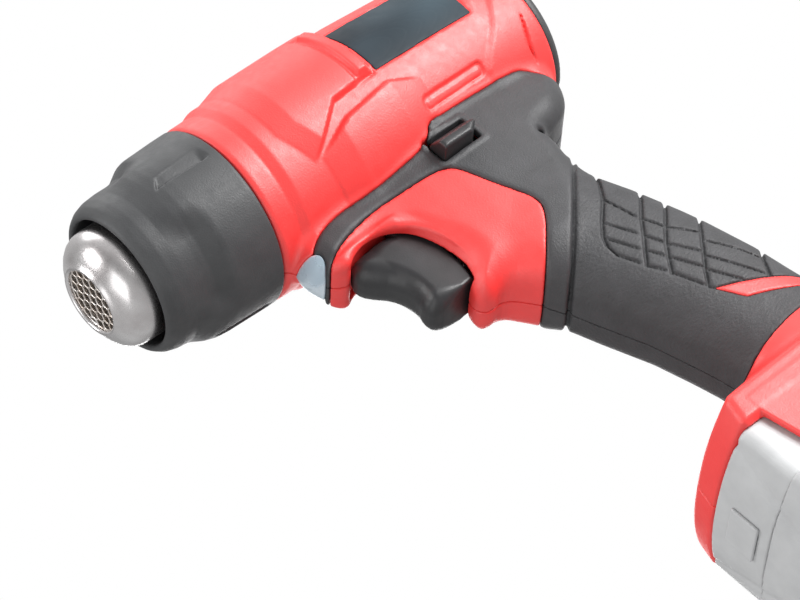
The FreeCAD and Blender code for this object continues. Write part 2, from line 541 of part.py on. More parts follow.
cells_row = [
    rod(f"cell_{i}", f"foot_front + 5.4 + cell_r + {i} * (2 * cell_r + 0.6)", "-cell_length / 2",
        f"{BATTERY_LOW} + pack_wall + cell_r", "cell_r", "cell_length", ALONG_Y)
    for i in range(DIMS["cell_count"])
]
latch = slab("latch_block", [
    ("latch_x", "foot_low - 19"), ("latch_x", "foot_low - 16"), ("foot_front + 2", "foot_low - 16"),
    ("foot_front + 1.2", "foot_low - 14"), ("foot_front + 1.2", "foot_low - 10"),
    ("foot_front + 3", "foot_low - 8.4"), ("latch_x", "foot_low - 8.4"),
    ("latch_x", PACK_TOP), ("latch_x + latch_thick", PACK_TOP), ("latch_x + latch_thick", "foot_low - 19"),
], "2 * latch_half")

# ---- labels and screws -----------------------------------------------------
label_ring = turned("label_ring", [
    ("label_start", "label_r - 0.05"), ("label_start", "label_r + 0.75"), ("waist_x", "waist_r + 0.75"),
    ("waist_x", "waist_r - 0.05"),
])
label_clear = cut("label_clear", label_ring, barrel)
LABEL_LOW = "-7"
LABEL_HEIGHT = "26"
labels = {}
for side, y in (("left", "-60"), ("right", "0")):
    window = box(f"label_window_{side}", "label_start", y, LABEL_LOW, "waist_x - label_start", "60", LABEL_HEIGHT)
    labels[side] = common(f"label_plate_{side}", [label_clear, window])
screws = []
for i, (x, z) in enumerate(SCREWS):
    shank = rod(f"screw_shank_{i}", x, "-saddle_half + 5", z, "screw_r", "saddle_half + head_y - 5", ALONG_Y)
    head = rod(f"screw_head_{i}", x, "head_y", z, "head_r", "head_h", ALONG_Y)
    screws.append(fuse(f"screw_{i}", [shank, head]))
trigger_spring = coil("trigger_spring", "plunger_r + 1.4", "0.4", "1.6", "switch_x - arch_back - 4",
                      ("arch_back + 2.9", "0", "plunger_z", ALONG_X))
latch_spring = coil("latch_spring", "2.2", "0.4", "1.5", "5", ("latch_x + 1.5", "0", "foot_low - 25.5"))

NODES = {
    "housing_left": half("housing_left_half", whole_shell, "left"),
    "housing_right": half("housing_right_half", whole_shell, "right"),
    "saddle_overmold_left": half("saddle_left_half", saddle_skins, "left"),
    "saddle_overmold_right": half("saddle_right_half", saddle_skins, "right"),
    "grip_overmold_left": half("grip_left_half", grip_whole, "left"),
    "grip_overmold_right": half("grip_right_half", grip_whole, "right"),
    "front_collar": collar,
    "outlet_nozzle": nozzle,
    "outlet_grille": grille,
    "heater_tube": heater_tube,
    "mica_sleeve": mica,
    "heater_core": core,
    "heater_coil": element,
    "thermal_fuse": fuse_can,
    "fan_shroud": shroud,
    "fan_impeller": impeller,
    "motor_shaft": shaft,
    "motor": motor,
    "motor_mount": motor_mount,
    "rear_cap": rear_cap,
    "intake_screen": screen,
    "control_board": board,
    "switch_module": switch,
    "switch_plunger": plunger,
    "trigger": trigger,
    "trigger_spring": trigger_spring,
    "lock_button": lock,
    "led_board": led_plate,
    "led_lens": lens,
    "terminal_block": terminal,
    "contact_blades": group("blade_set", blades),
    "battery_case_upper": upper_case,
    "battery_tray": tray,
    "battery_cells": group("cell_set", cells_row),
    "battery_latch": latch,
    "latch_spring": latch_spring,
    "label_plate_left": labels["left"],
    "label_plate_right": labels["right"],
    "housing_screws": group("screw_set", screws),
}
doc.recompute()

faults = [o.Name for o in doc.Objects if "Invalid" in o.State or "Error" in o.State]
if faults:
    raise RuntimeError("these objects failed: " + ", ".join(faults))
for node, obj in NODES.items():
    if obj.Shape.isNull() or not obj.Shape.isValid() or not obj.Shape.Solids:
        raise RuntimeError(f"{node} has no valid solid")
    obj.Label = node

os.makedirs("parts", exist_ok=True)
for node, obj in NODES.items():
    obj.Shape.exportStep(f"parts/{node}.step")
    size = obj.Shape.BoundBox
    print(f"{node}: {len(obj.Shape.Solids)} solid(s), {size.XLength:.1f} x {size.YLength:.1f} x {size.ZLength:.1f} mm,",
          f"{obj.Shape.Volume / 1000:.2f} cm3")
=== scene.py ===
"""A cordless heat gun: the looks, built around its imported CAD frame.

Sizes are in millimetres in the barrel's own frame until a mesh is made: x runs back from the
collar's rear rim, y runs to the gun's right and z runs up from the barrel's axis.
Moulded pieces are made as signed distance fields, negative inside, and then meshed.
"""
import math

import bpy
import numpy as np
import openvdb
from mathutils import Matrix, Vector


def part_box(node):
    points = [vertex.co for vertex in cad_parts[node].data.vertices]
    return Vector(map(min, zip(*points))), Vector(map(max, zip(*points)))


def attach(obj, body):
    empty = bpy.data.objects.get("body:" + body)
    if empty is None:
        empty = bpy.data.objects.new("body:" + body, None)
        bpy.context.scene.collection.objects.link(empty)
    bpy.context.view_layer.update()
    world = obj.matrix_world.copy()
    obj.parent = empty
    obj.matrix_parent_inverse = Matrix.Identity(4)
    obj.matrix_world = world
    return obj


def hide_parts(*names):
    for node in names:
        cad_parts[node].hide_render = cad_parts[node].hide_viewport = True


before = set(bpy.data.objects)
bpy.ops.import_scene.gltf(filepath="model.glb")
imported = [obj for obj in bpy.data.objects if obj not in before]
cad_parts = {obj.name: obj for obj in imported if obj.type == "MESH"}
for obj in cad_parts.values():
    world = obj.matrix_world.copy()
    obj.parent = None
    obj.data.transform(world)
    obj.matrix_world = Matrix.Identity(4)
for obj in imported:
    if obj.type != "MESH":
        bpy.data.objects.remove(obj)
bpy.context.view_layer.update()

MM = 0.001
collar_low, collar_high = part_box("front_collar")
ORIGIN = np.array([collar_high.x, 0.0, (collar_low.z + collar_high.z) / 2])
BATTERY_LOW = -ORIGIN[2] / MM
FINE = 0.55
STEP = FINE


def grid_step(fine):
    return fine


# ---- distance fields ---------------------------------------------------------
class Block:
    """A box of space sampled on a grid. Its coordinates broadcast against each other."""

    def __init__(self, low, high, step=STEP):
        self.low = np.array(low, float)
        self.step = step
        counts = np.ceil((np.array(high) - self.low) / step).astype(int) + 1
        x, y, z = (self.low[i] + step * np.arange(counts[i]) for i in range(3))
        self.x = x[:, None, None].astype(np.float32)
        self.y = y[None, :, None].astype(np.float32)
        self.z = z[None, None, :].astype(np.float32)
        self.side = np.abs(self.y)
        self.radius = np.hypot(self.y, self.z)

    @property
    def arc(self):
        """Degrees round the barrel from its side, up positive, the same on left and right."""
        return np.degrees(np.arctan2(self.z, self.side))


def join(a, b, blend):
    """Smooth union of two fields."""
    mix = np.clip(0.5 + 0.5 * (b - a) / blend, 0, 1)
    return b + (a - b) * mix - blend * mix * (1 - mix)


def meet(a, b, blend):
    """Smooth intersection of two fields."""
    return -join(-a, -b, blend)


def carve(a, b, blend=0.6):
    """a with b taken out, its edges eased."""
    return meet(a, -b, blend)


def round_meet(a, b, radius):
    """Intersection of two fields with its edge rounded to a radius."""
    corner = np.hypot(np.maximum(a + radius, 0), np.maximum(b + radius, 0))
    return corner + np.minimum(np.maximum(a, b), -radius)


def smooth(points, times=2):
    """A corner-cut copy of a closed outline."""
    points = np.array(points, float)
    for _ in range(times):
        after = np.roll(points, -1, axis=0)
        pairs = np.stack([0.75 * points + 0.25 * after, 0.25 * points + 0.75 * after], 1)
        points = pairs.reshape(-1, 2)
    return points


def outline(u, v, points):
    """Signed distance to a closed outline in a plane."""
    points = np.array(points, float)
    nearest = np.full(np.broadcast(u, v).shape, 1e9, np.float32)
    inside = np.zeros(nearest.shape, bool)
    for (au, av), (bu, bv) in zip(points, np.roll(points, -1, axis=0)):
        eu, ev = bu - au, bv - av
        wu, wv = u - au, v - av
        along = np.clip((wu * eu + wv * ev) / (eu * eu + ev * ev), 0, 1)
        nearest = np.minimum(nearest, (wu - eu * along) ** 2 + (wv - ev * along) ** 2)
        crosses = (v >= av) == (v < bv)
        inside ^= crosses & ((eu * wv > ev * wu) == (ev > 0))
    return np.where(inside, -1, 1) * np.sqrt(nearest)


def path_distance(u, v, points):
    """Distance to an open run of straight lines in a plane."""
    points = np.array(points, float)
    nearest = np.full(np.broadcast(u, v).shape, 1e9, np.float32)
    for (au, av), (bu, bv) in zip(points[:-1], points[1:]):
        eu, ev = bu - au, bv - av
        along = np.clip(((u - au) * eu + (v - av) * ev) / (eu * eu + ev * ev), 0, 1)
        nearest = np.minimum(nearest, (u - au - eu * along) ** 2 + (v - av - ev * along) ** 2)
    return np.sqrt(nearest)


def box_field(block, centre, half, rounding=0.6):
    """Signed distance to a rounded box."""
    axes = (block.x, block.y, block.z)
    away = [np.abs(c - m) - (h - rounding) for c, m, h in zip(axes, centre, half)]
    outside = np.sqrt(sum(np.maximum(a, 0) ** 2 for a in away))
    return outside + np.minimum(np.maximum(np.maximum(away[0], away[1]), away[2]), 0) - rounding


def turned_field(block, profile):
    """Signed distance to a solid turned about the barrel's axis, from (station, radius) corners."""
    fine = 0.2
    corners = np.array(profile, float)
    us = np.arange(block.x.min() - 1, block.x.max() + 2, fine)
    vs = np.arange(0, float(block.radius.max()) + 2, fine)
    table = outline(us[:, None], vs[None, :], corners).astype(np.float32)
    i = (block.x[:, 0, 0] - us[0]) / fine
    i0 = i.astype(int)
    rows = table[i0] + (table[i0 + 1] - table[i0]) * (i - i0)[:, None].astype(np.float32)
    j = block.radius[0] / fine
    j0 = j.astype(int)
    part = (j - j0)[None]
    return rows[:, j0] * (1 - part) + rows[:, j0 + 1] * part


def softly(distance, width):
    """1 well inside an outline, 0 outside it, with a straight ramp as wide as width."""
    return np.clip(-distance / width, 0, 1)


def groove(distance, width):
    """1 at a line's middle and 0 past its width, with rounded flanks."""
    t = np.clip(1 - distance / (width / 2), 0, 1)
    return t * t * (3 - 2 * t)


def mesh_field(name, block, field):
    """The zero surface of a field as a mesh object in metres, in the row frame."""
    band = 3 * block.step
    padded = np.pad(np.clip(field, -band, band), 1, constant_values=band).astype(np.float32)
    grid = openvdb.FloatGrid(band)
    grid.copyFromArray(padded)
    points, triangles, quads = grid.convertToPolygons(isovalue=0.0, adaptivity=0.0)
    places = (points - 1) * block.step + block.low
    faces = [tuple(f) for corners in (triangles, quads) for f in corners[:, ::-1].tolist()]
    return mesh_object(name, places, faces)


def mesh_object(name, places, faces):
    """A mesh object from points in millimetres in the barrel's frame."""
    mesh = bpy.data.meshes.new(name)
    mesh.from_pydata((np.asarray(places) * MM + ORIGIN).tolist(), [], faces)
    mesh.validate()
    mesh.update()
    obj = bpy.data.objects.new(name, mesh)
    bpy.context.scene.collection.objects.link(obj)
    mesh.polygons.foreach_set("use_smooth", [True] * len(mesh.polygons))
    return obj


def lathe(name, profile, turns=144):
    """A closed (station, radius) profile turned about the barrel's axis."""
    profile = np.array(profile, float)
    angles = 2 * np.pi * np.arange(turns) / turns
    places = [(x, r * math.cos(a), r * math.sin(a)) for a in angles for x, r in profile]
    n = len(profile)
    faces = []
    for i in range(turns):
        for j in range(n):
            a, b = i * n + j, i * n + (j + 1) % n
            c, d = (i + 1) % turns * n + (j + 1) % n, (i + 1) % turns * n + j
            faces.append((a, b, c, d))
    return mesh_object(name, places, faces)


def arc_points(centre, radius, start, end, count=7):
    """Points on an arc in a plane, angles in degrees."""
    turns = np.radians(np.linspace(start, end, count))
    return [(centre[0] + radius * math.cos(t), centre[1] + radius * math.sin(t)) for t in turns]


def finish_piece(obj, material, body, slot, *nodes):
    """Give a piece its material and body, and hide the CAD nodes that it stands for. The slot argument is not
    used.
    """
    obj.data.materials.append(material)
    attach(obj, body)
    if nodes:
        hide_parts(*nodes)
    return obj


# ---- materials ---------------------------------------------------------------
class Paint:
    """A Principled material with a few helpers for procedural colour, roughness and bump."""

    def __init__(self, name, colour, roughness, metallic=0.0, **sockets):
        self.material = bpy.data.materials.new(name)
        self.material.use_nodes = True
        self.nodes = self.material.node_tree.nodes
        self.links = self.material.node_tree.links
        self.shader = self.nodes["Principled BSDF"]
        self.shader.inputs["Base Color"].default_value = (*colour, 1)
        self.shader.inputs["Roughness"].default_value = roughness
        self.shader.inputs["Metallic"].default_value = metallic
        for socket, value in sockets.items():
            self.shader.inputs[socket.replace("_", " ")].default_value = value
        self.places = self.nodes.new("ShaderNodeTexCoord").outputs["Object"]
        self.normal = None

    def noise(self, size_mm, detail=3.0, stretch=(1, 1, 1), rough=0.55):
        """Noise whose features are about size_mm across."""
        mapping = self.nodes.new("ShaderNodeMapping")
        mapping.inputs["Scale"].default_value = [s / (size_mm * MM) for s in stretch]
        self.links.new(self.places, mapping.inputs["Vector"])
        texture = self.nodes.new("ShaderNodeTexNoise")
        texture.inputs["Scale"].default_value = 1.0
        texture.inputs["Detail"].default_value = detail
        texture.inputs["Roughness"].default_value = rough
        self.links.new(mapping.outputs["Vector"], texture.inputs["Vector"])
        return texture.outputs["Fac"]

    def ramp(self, source, low, high, from_low=0.3, from_high=0.7):
        """Map a 0-1 source to a value range."""
        node = self.nodes.new("ShaderNodeMapRange")
        node.inputs["From Min"].default_value = from_low
        node.inputs["From Max"].default_value = from_high
        node.inputs["To Min"].default_value = low
        node.inputs["To Max"].default_value = high
        self.links.new(source, node.inputs["Value"])
        return node.outputs["Result"]

    def tint(self, source, dark, light, from_low=0.3, from_high=0.7):
        """Colour that runs between two tones with a source."""
        ramp = self.nodes.new("ShaderNodeValToRGB")
        ramp.color_ramp.elements[0].position = from_low
        ramp.color_ramp.elements[0].color = (*dark, 1)
        ramp.color_ramp.elements[1].position = from_high
        ramp.color_ramp.elements[1].color = (*light, 1)
        self.links.new(source, ramp.inputs["Fac"])
        self.links.new(ramp.outputs["Color"], self.shader.inputs["Base Color"])
        return self

    def roughen(self, source, low, high):
        """Roughness that runs between two values with a source."""
        self.links.new(self.ramp(source, low, high), self.shader.inputs["Roughness"])
        return self

    def bump(self, source, height_mm, strength=1.0):
        """Add a bump of about height_mm, chained after any earlier one."""
        node = self.nodes.new("ShaderNodeBump")
        node.inputs["Strength"].default_value = strength
        node.inputs["Distance"].default_value = height_mm * MM
        self.links.new(source, node.inputs["Height"])
        if self.normal:
            self.links.new(self.normal, node.inputs["Normal"])
        self.normal = node.outputs["Normal"]
        self.links.new(self.normal, self.shader.inputs["Normal"])
        return self


def moulded(name, dark, light, roughness, grain_mm=0.6, grain_height=0.08, **sockets):
    """Injection-moulded plastic with a fine spark-eroded grain and faint cloudiness."""
    paint = Paint(name, light, roughness, **sockets)
    paint.tint(paint.noise(9, 4), dark, light)
    paint.roughen(paint.noise(3, 5), roughness - 0.05, roughness + 0.06)
    paint.bump(paint.noise(grain_mm, 2), grain_height)
    return paint


RED = moulded(
    "red_moulded", (0.80, 0.024, 0.022), (0.86, 0.032, 0.029), 0.5, Specular_IOR_Level=0.95,
).material
CHARCOAL = moulded("charcoal_moulded", (0.036, 0.037, 0.039), (0.048, 0.049, 0.051), 0.52).material
SOFT = moulded(
    "charcoal_soft_touch", (0.034, 0.034, 0.036), (0.045, 0.045, 0.048), 0.52, 0.55, 0.13,
).material
BLACK = moulded("black_satin", (0.016, 0.016, 0.017), (0.023, 0.023, 0.025), 0.42, 0.5, 0.04).material


def grained_rubber():
    """The handle's rubber: leather-like wrinkles over a soft grain."""
    paint = Paint("grip_rubber", (0.07, 0.07, 0.072), 0.6)
    paint.tint(paint.noise(6, 4), (0.032, 0.032, 0.034), (0.044, 0.044, 0.047))
    paint.roughen(paint.noise(1.5, 3), 0.55, 0.68)
    paint.bump(paint.noise(1.3, 2, (1.0, 1.0, 1.7)), 0.34, 0.9)
    paint.bump(paint.noise(0.4, 2), 0.03)
    return paint.material


def satin_steel():
    """Spun stainless with turning lines round the barrel's axis and a faint heat tint."""
    paint = Paint("spun_stainless", (0.66, 0.64, 0.63), 0.27, 1.0, Anisotropic=0.3)
    paint.tint(paint.noise(14, 3), (0.50, 0.47, 0.47), (0.74, 0.73, 0.73))
    paint.roughen(paint.noise(0.5, 3, (8, 0.35, 0.35)), 0.22, 0.34)
    paint.bump(paint.noise(0.25, 2, (6, 0.3, 0.3)), 0.004, 0.5)
    return paint.material


def heated_metal():
    """Oxidised grille metal, straw to brown."""
    paint = Paint("heated_grille", (0.7, 0.66, 0.64), 0.38, 1.0)
    paint.tint(paint.noise(5, 4), (0.62, 0.54, 0.48), (0.82, 0.80, 0.78))
    paint.roughen(paint.noise(1, 3), 0.3, 0.5)
    paint.bump(paint.noise(0.4, 2), 0.01)
    return paint.material


def label_film():
    """Glossy slate film with a soft diagonal tone."""
    paint = Paint("label_film", (0.02, 0.03, 0.038), 0.55, Specular_IOR_Level=0.22)
    paint.tint(paint.noise(40, 1, (1, 1, 1.6)), (0.012, 0.018, 0.024), (0.040, 0.060, 0.074))
    paint.roughen(paint.noise(4, 4), 0.48, 0.58)
    paint.bump(paint.noise(0.6, 2), 0.004)
    return paint.material


def plain(name, dark, light, roughness, metallic=0.0, size=4, grain=0.5, height=0.01, **sockets):
    """A small hidden part's finish, still with tone, roughness and grain of its own."""
    paint = Paint(name, light, roughness, metallic, **sockets)
    paint.tint(paint.noise(size, 4), dark, light)
    paint.roughen(paint.noise(size / 2, 3), max(roughness - 0.07, 0.05), min(roughness + 0.07, 1))
    paint.bump(paint.noise(grain, 2), height)
    return paint.material


STEEL = satin_steel()
HOT = heated_metal()
RUBBER = grained_rubber()
LABEL = label_film()
GREY = moulded("battery_grey", (0.45, 0.455, 0.46), (0.51, 0.515, 0.52), 0.40, 0.6, 0.04).material
LENS = plain("lens_frosted", (0.36, 0.46, 0.53), (0.46, 0.56, 0.64), 0.3, size=9, Transmission_Weight=0.3,
             IOR=1.46, Emission_Color=(0.74, 0.88, 1.0, 1), Emission_Strength=0.08)

# ---- the body's common form --------------------------------------------------
# The barrel's profile as (station, radius), the part under it as a side view of (station, height),
# and that part's half width as (station, half width).
BARREL = [
    (0.3, 0), (0.3, 31.8), (0.8, 32.5), (2.2, 33.2), (8.2, 33.3), (8.8, 33.1), (12.6, 34.7), (30, 34.9),
    (50, 35.1), (70, 34.9), (96, 33.6), (110, 32.5), (120, 31.3), (125.4, 30.5), (126.8, 29.6),
    (126.8, 0),
]
SADDLE = [
    (12, -18), (4.6, -27), (2.4, -34), (1.8, -39.5), (3.4, -43.4), (6.6, -45.6), (9.0, -48.6),
    (13.0, -50.2), (16.8, -47.6), (22.5, -46.2), (29, -47), (34.6, -50.4), (38.6, -56.4),
    (40.3, -62.5), (40.6, -69), (39.8, -75), (37.4, -80), (36.4, -85), (39.5, -88.4), (46.5, -87.4),
    (54, -94.2), (62, -100), (86, -96), (95, -75), (97.2, -62), (97.6, -54.5), (99.6, -51.2),
    (104.5, -50.2), (112, -47.6), (118.2, -42), (122.2, -35), (123.4, -27), (119, -16),
]
HALF_WIDTH = [
    (1, 2.6), (2.2, 4.6), (4, 6.8), (7, 9.2), (12, 12.0), (20, 13.4), (30, 14.3), (40, 15.6),
    (50, 17.8), (60, 19.4), (70, 20.3), (84, 20.4), (98, 19.4), (108, 18), (116, 15.5), (124, 12),
]
# height: front, back, half width and squareness of the stem's level sections
STEM = [
    (-66, 62, 100.5, 16.5, 2.3), (-77, 54, 103.8, 19.0, 2.3), (-88, 51.5, 108, 20.0, 2.4),
    (-98, 55.2, 111.2, 20.4, 2.4), (-106, 58.6, 113.6, 20.7, 2.4), (-114, 61.6, 115.8, 20.8, 2.4),
    (-132, 68.9, 119.8, 20.6, 2.4), (-146, 72.8, 121.6, 20.3, 2.4), (-156, 75.4, 123, 20.5, 2.4),
    (-163, 76.6, 126, 21.4, 2.4), (-169, 76, 130, 23.4, 2.5), (-175, 72, 133, 26, 2.7),
    (-181, 66, 135, 29, 3), (-192, 60, 135, 30, 3),
]


def smooth_table(rows, at):
    """Columns of a table read at the given places, eased between its rows."""
    rows = np.array(sorted(rows), float)
    keys = np.linspace(rows[0, 0], rows[-1, 0], 240)
    kernel = np.hanning(11)[1:-1]
    kernel /= kernel.sum()
    columns = []
    for column in rows.T[1:]:
        values = np.interp(keys, rows[:, 0], column)
        edge = len(kernel) // 2
        padded = np.pad(values, edge, mode="reflect", reflect_type="odd")
        eased = np.convolve(padded, kernel, mode="valid")
        columns.append(np.interp(at, keys, eased).astype(np.float32))
    return columns


def stem_field(block):
    """The handle and the flare below it, as a stack of level superellipses."""
    front, back, half, power = smooth_table(STEM, block.z[0, 0])
    middle, depth = (front + back) / 2, (back - front) / 2
    u = np.abs((block.x - middle) / depth)
    v = np.abs(block.side / half)
    ring = (u ** power + v ** power) ** (1 / power)
    lean = 0.93
    field = (ring - 1) * np.minimum(depth, half) * lean
    return np.where(block.z > -66, field + (block.z + 66) * 0.8, field)


FOOT_HALF = 38.0
FOOT_BOTTOM = -191.5


def foot_bow(block, depth=7.4):
    """How far the foot's and battery's fronts fall back from the middle towards the sides."""
    return depth * (block.side / FOOT_HALF) ** 2.4


def foot_field(block):
    """The foot: upright walls round the battery's top with a bowed front, under a hipped roof."""
    front = 37.2 + 0.26 * (block.z - FOOT_BOTTOM) + foot_bow(block) - block.x
    back = block.x - 141 + foot_bow(block, 5.0)
    ends = np.maximum(front * 0.92, back)
    plan = round_meet(ends, block.side - FOOT_HALF, 2.0)
    eaves = -180.4 + 0.02 * (block.x - 40)
    roof = (block.z - eaves - 0.46 * np.clip(-plan, 0, 30)) * 0.9
    field = round_meet(plan, roof, 1.4)
    lip = (FOOT_BOTTOM - block.z - 0.8 * np.clip(-plan, 0, 2.5) + 2.0) * 0.8
    return round_meet(field, lip, 0.5)


def saddle_field(block):
    """The part under the barrel: a side outline whose width follows the station."""
    side_view = outline(block.x, block.z, smooth(SADDLE, 2))
    half, = smooth_table(HALF_WIDTH, block.x[:, 0, 0])
    half = half[:, None, None]
    dip = 1.2 * np.exp(-((block.x - 54) / 9) ** 2 - ((block.z + 84) / 9) ** 2)
    wall = block.side - half + dip
    rounding = np.clip(8 + (-62 - block.z) * 0.3, 7, 11.5)
    body = round_meet(side_view, wall, rounding)
    inset = 2.7
    bead = np.hypot(side_view + inset, wall + inset - 0.5) - inset
    ends = np.hypot(np.maximum(block.x - 34, 0), np.maximum(-66 - block.z, 0)) * 0.32
    return join(body, bead + ends + np.maximum(block.z + 46, 0), 2.2)


# Raised pads on the barrel: corners in (station, degrees round the barrel).
CROWN = [(17, 150), (17, -14), (23.4, -38.5), (42, -15.5), (61, -13), (61, 150)]
BULGE = [(26, -36), (41.5, -25), (62, -20.5), (74, -28), (74, -90), (29, -90), (27.2, -61)]
TAIL = [(97, -46), (100, -39), (108, -25.5), (116, -5), (128, 10), (128, -90), (96, -90)]
TAIL_TOP = [(108, -14), (124, 15), (124, 30), (103, 22)]
RIB_AT = 57
POCKET_AT = 83
# Length round the barrel that stands for one degree in these flat outlines.
DEGREE = 0.6


def pad(block, arc, corners, edge):
    """1 inside a pad's outline, with a sloped edge."""
    return softly(outline(block.x, arc, [(x, a * DEGREE) for x, a in corners]), edge)


def barrel_field(block):
    """The barrel with its raised pads, the rib, the pocket by the button and the rear gash."""
    field = turned_field(block, BARREL)
    arc = block.arc * DEGREE
    tip = np.clip((-8 - arc) / 14, 0, 1)
    crown_front = np.clip((block.x - 17 - 6.4 * tip) / 8.5, 0, 1)
    field = field - 2.4 * pad(block, arc, CROWN, 1.3) * crown_front
    bulge_front = np.clip((block.x - 26) / 11.5, 0, 1)
    bulge_back = np.clip((74 - block.x) / 13, 0, 1)
    field = field - 3.0 * pad(block, arc, BULGE, 1.2) * np.minimum(bulge_front, bulge_back)
    field = field - 0.8 * pad(block, arc, TAIL, 2.4) - 0.5 * pad(block, arc, TAIL_TOP, 2.4)
    from_rib = np.abs(block.x - RIB_AT)
    up_rib = np.abs(arc - 8.8)
    field = field + 0.9 * softly(np.maximum(from_rib - 4.4, up_rib - 17.2), 0.6)
    field = field - 2.0 * softly(np.maximum(from_rib - 2.6, up_rib - 15.4), 0.9)
    along = np.abs(block.x - POCKET_AT)
    pocket = np.hypot(np.maximum(along - 12.2, 0), np.maximum(np.abs(arc + 26) - 0.9, 0)) - 2.1
    field = field + 0.85 * softly(pocket, 0.7)
    island = np.hypot(np.maximum(along - 11.6, 0), np.maximum(np.abs(arc + 26.5) - 0.4, 0)) - 1.4
    field = field - 0.55 * softly(island, 0.8)
    gash = path_distance(block.x, arc, [(121.2, -18), (118.4, -28), (118, -37)])
    taper = 1.3 - 0.11 * np.abs(arc + 27.5)
    field = field + 1.5 * groove(gash, 2 * np.maximum(taper, 0.05))
    return field


def body_field(block):
    """The whole gun body that the shells and the soft overmould share."""
    barrel = barrel_field(block)
    lower = join(join(saddle_field(block), stem_field(block), 5.0), foot_field(block), 2.4)
    lower = np.maximum(lower, FOOT_BOTTOM - block.z)
    body = join(barrel, lower, 3.4)
    notch = np.hypot(block.x - 96.2, block.z + 52.4) - 1.6
    return carve(body, notch, 2.0)


# Side-view outlines of the colour regions, seen along y.
BARREL_EDGE = [
    (3, -46), (6.5, -39), (10, -36), (15, -34.2), (20, -33.4), (27, -33.2), (33, -34.0), (40, -34.6),
    (60.5, -33.6), (63.6, -32), (66.8, -28.2), (72, -27.6), (106, -27.6), (111, -28.6), (116, -32),
    (121, -35.2), (128, -37),
]
RING_LINE = [(100, -64), (54, -110)]
PANEL = [
    (-6, -55), (3.8, -50.4), (6.6, -47.4), (10.4, -44.6), (17.5, -42.0), (27, -40.6), (36, -40.4),
    (50, -42.4), (57, -43.6), (61.4, -46.4), (63.6, -50.6), (66.2, -59), (71, -70.4), (72, -76.5),
    (69, -82), (62.4, -89), (53.6, -98.4), (47, -106), (38, -112), (-6, -112),
]
FOOT_LINE = [
    (48, -167), (60, -167), (72, -166.6), (78, -165.4), (86, -164.2), (99, -163), (113, -162.6),
    (122, -164.5), (134, -168),
]


def panel_region(block):
    """The red panel round the trigger, negative inside."""
    return outline(block.x, block.z, smooth(PANEL, 2))


def saddle_region(block):
    """The soft overmould between the barrel and the handle's ring groove."""
    region = [*BARREL_EDGE, (130, -60), RING_LINE[0], RING_LINE[1], (40, -122), (-6, -122), (-6, -52)]
    return carve(outline(block.x, block.z, smooth(region, 1)), panel_region(block), 0.2)


def grip_region(block):
    """The handle's overmould, from the ring groove down to the flare."""
    region = [RING_LINE[1], RING_LINE[0], (134, -64), *reversed(FOOT_LINE), (40, -176)]
    return outline(block.x, block.z, region)


SEAM = 0.13
EDGE_GAP = 0.12
SKIN = 2.4
WALL = 2.6
RING_GROOVE = [(104, -60), (50, -114)]


def ring_depth(block):
    """How deep the ring groove between saddle and handle is."""
    return 1.2 * groove(path_distance(block.x, block.z, RING_GROOVE), 2.6)


def hollow(body):
    """The space inside the shells, negative inside."""
    return body + SKIN + WALL


TRIGGER = [
    (14.2, -49.4), (14.6, -53.4), (17.4, -57.2), (21.2, -61.2), (23.4, -66.6), (23.6, -71.0), (22.2, -75.2),
    (22.8, -78.4), (25.6, -80.2), (30, -80.0), (36, -79.2), (42.4, -78.8), (42.4, -45), (18, -45),
]


def trigger_outline(u, v):
    """Signed distance to the trigger's side view at rest."""
    return outline(u, v, smooth(TRIGGER, 1))


def trigger_room(block):
    """Where the trigger sits and travels, with clearance."""
    travel = 6.0
    gap = 0.45
    swept = np.minimum(trigger_outline(block.x, block.z), trigger_outline(block.x - travel, block.z))
    for share in (0.25, 0.5, 0.75):
        swept = np.minimum(swept, trigger_outline(block.x - travel * share, block.z))
    return np.maximum(swept, block.side - 9.5) - gap


LOCK_AT = (69, 0, -38.2)


def lock_room(block):
    """The bore that the lock button slides through."""
    return box_field(block, LOCK_AT, (8.3, 60, 5.05), 0.5)


def lens_room(block):
    """The window's opening in the nose."""
    edge = [
        (-4, -33), (4, -35.6), (8.6, -38.2), (9.4, -42.2), (6.6, -45.6), (5.2, -49.5), (3.4, -56), (-4, -56),
    ]
    side_view = outline(block.x, block.z, smooth(edge, 2))
    return round_meet(side_view, block.side - 11.6, 1.0)


def label_room(block, grow=0.0):
    """The label's window on the barrel, between two angles."""
    low, high = -12.2 * DEGREE, 32.2 * DEGREE
    arc = block.arc * DEGREE
    up = np.abs(arc - (low + high) / 2) - (high - low) / 2
    return np.maximum(np.abs(block.x - 84.2) - 21.8, up) - grow


# The heel's screw has no well here: the shell covers it, so five of the six heads can be seen.
SCREWS = [(23, -40), (109, -37), (95, -140), (54, -183), (131, -183)]


def screw_rooms(block):
    """The wells of the screws in SCREWS, which are driven from the right."""
    field = np.full(np.broadcast(block.x, block.y, block.z).shape, 99, np.float32)
    for x, z in SCREWS:
        well = np.maximum(np.hypot(block.x - x, block.z - z) - 3.3, 8 - block.y)
        field = np.minimum(field, well)
    return field


SIDES = {"left": -1, "right": 1}


